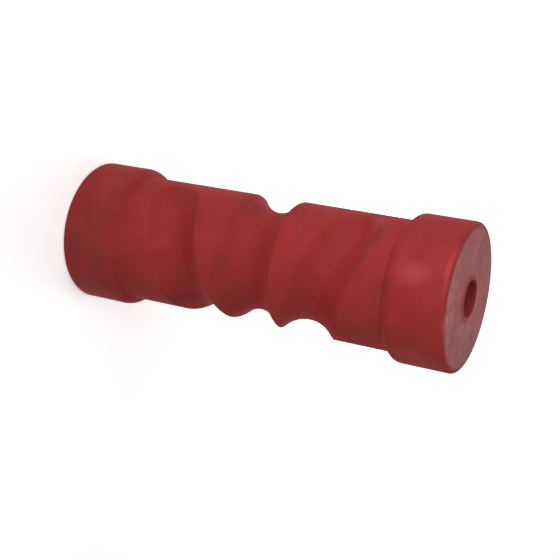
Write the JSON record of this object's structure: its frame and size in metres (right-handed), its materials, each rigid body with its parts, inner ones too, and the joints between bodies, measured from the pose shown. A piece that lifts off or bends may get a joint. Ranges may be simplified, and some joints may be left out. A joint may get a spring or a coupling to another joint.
{
  "type": "boat trailer roller",
  "caption": "Self-centring keel roller of a boat trailer: a solid moulded roller with end collars, a keel channel and two spiral side grooves, bored through for its pin.",
  "frame": {"origin": "centre of the plain end that the roller stands on", "axes": "+Z along the bore, up to the end with the raised lip; the blind ends of the side grooves are on the -Y side"},
  "size_m": [0.07, 0.07, 0.2],
  "materials": {
    "roller_rubber": "matte"
  },
  "bodies": {
    "root": {"roller_body": "roller_rubber"}
  },
  "joints": []
}
